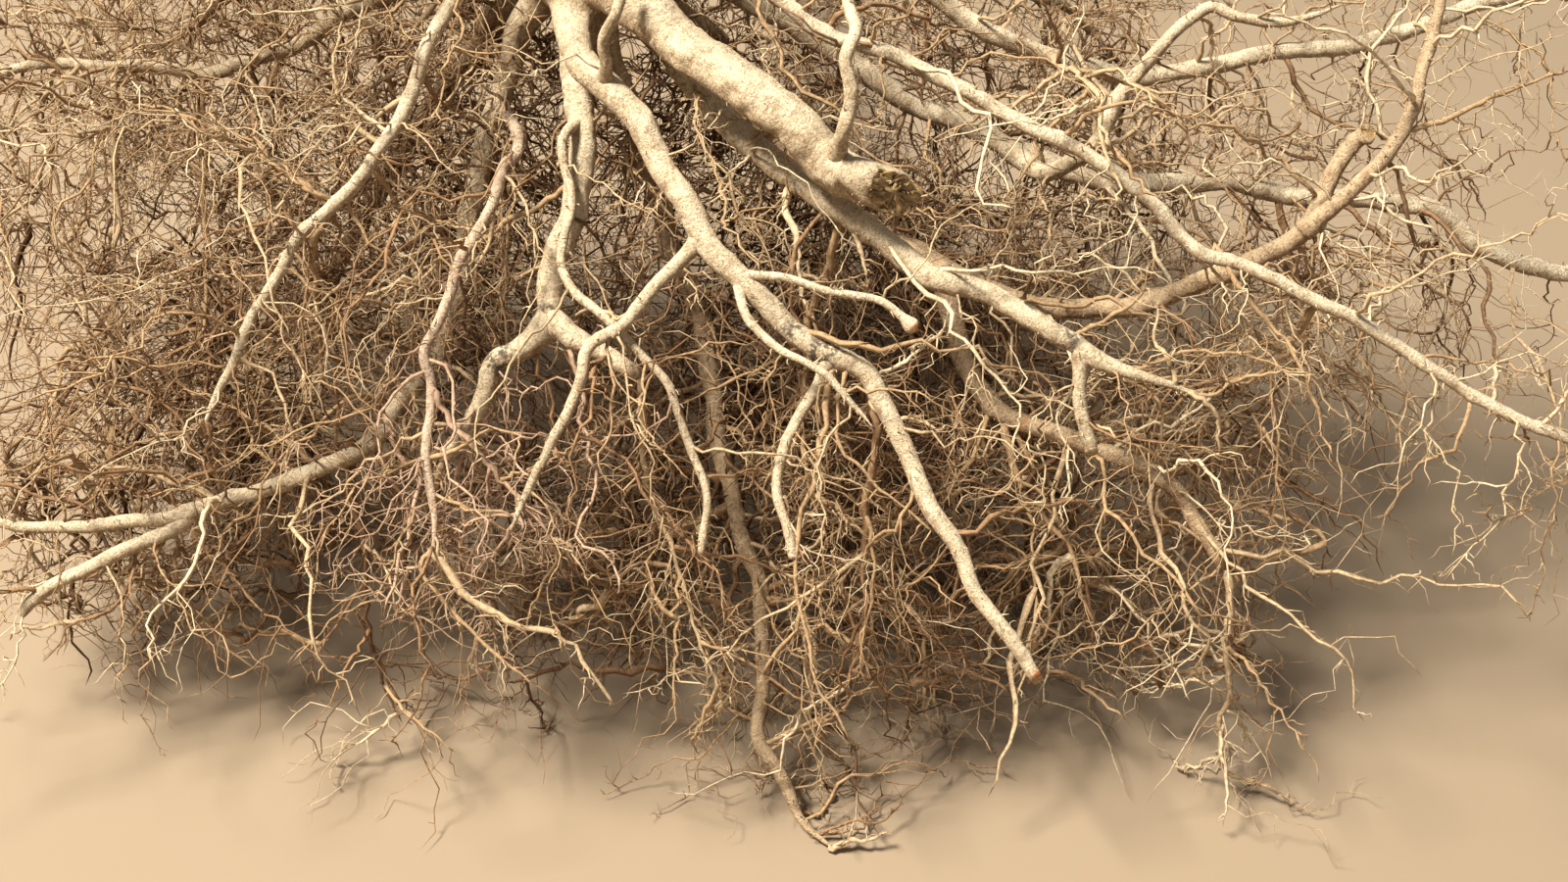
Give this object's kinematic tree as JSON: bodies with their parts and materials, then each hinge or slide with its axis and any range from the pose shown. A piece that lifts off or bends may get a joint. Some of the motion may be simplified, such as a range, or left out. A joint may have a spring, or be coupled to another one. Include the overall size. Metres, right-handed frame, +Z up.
{
  "type": "bare-rooted sapling",
  "caption": "Leafless bare-rooted sapling lying on its side: splayed, kinked woody roots with fine hanging rootlets, a root crown, and a slender stem tapering to bare twigs.",
  "frame": {"origin": "on the ground, under the middle of the whole lying plant's box", "axes": "+Y runs from the roots along the stem to its tip, +X to the right seen from the roots' end, +Z up from the ground"},
  "size_m": [0.9942, 2.215, 0.5517],
  "materials": {
    "root_bark": "dry tan root bark with a dust of soil, fine cross wrinkles and scuffs",
    "stem_bark": "smooth pale grey-brown young bark with small pores, duller at the root crown",
    "rootlets": "matt dry fine rootlets, cream to reddish brown",
    "twigs": "matt brown bare winter twigs"
  },
  "bodies": {
    "root": {"stem": "stem_bark", "root_front_long": "root_bark", "root_thick_stub": "root_bark", "root_down": "root_bark", "root_right_low": "root_bark", "root_right_long": "root_bark", "root_right_rear": "root_bark", "root_right_far": "root_bark", "root_right_top": "root_bark", "root_left_low": "root_bark", "root_left_sweep": "root_bark", "root_left_far": "root_bark", "root_tap": "root_bark", "root_up_left": "root_bark", "root_up_right": "root_bark", "root_prop_left": "root_bark", "root_prop_right": "root_bark", "root_back_left": "root_bark", "root_back_right": "root_bark", "root_down_left": "root_bark", "root_down_right": "root_bark", "root_slim_front": "root_bark", "root_cross": "root_bark", "root_front_curl": "root_bark", "root_front_wisp": "root_bark", "root_front_knob": "root_bark", "root_front_riser": "root_bark", "root_slim_left": "root_bark", "root_left_fork": "root_bark", "root_riser": "root_bark", "root_right_stub": "root_bark", "root_right_fork": "root_bark", "root_right_under": "root_bark", "root_right_rise": "root_bark", "branch_left": "stem_bark", "branch_right": "stem_bark", "branch_up": "stem_bark", "rootlets_right_low": "rootlets", "rootlets_front_long": "rootlets", "rootlets_down": "rootlets", "rootlets_down_left": "rootlets", "rootlets_down_right": "rootlets", "rootlets_slim_left": "rootlets", "rootlets_left_sweep": "rootlets", "rootlets_left_low": "rootlets", "rootlets_left_far": "rootlets", "rootlets_tap_left": "rootlets", "rootlets_tap_right": "rootlets", "rootlets_right_under": "rootlets", "rootlets_right_end": "rootlets", "rootlets_right_long": "rootlets", "rootlets_right_top": "rootlets", "rootlets_right_far": "rootlets", "rootlets_prop_left": "rootlets", "rootlets_prop_right": "rootlets", "rootlets_back_left": "rootlets", "rootlets_back_right": "rootlets", "twigs_left": "twigs", "twigs_right": "twigs", "twigs_tip": "twigs"}
  },
  "joints": []
}
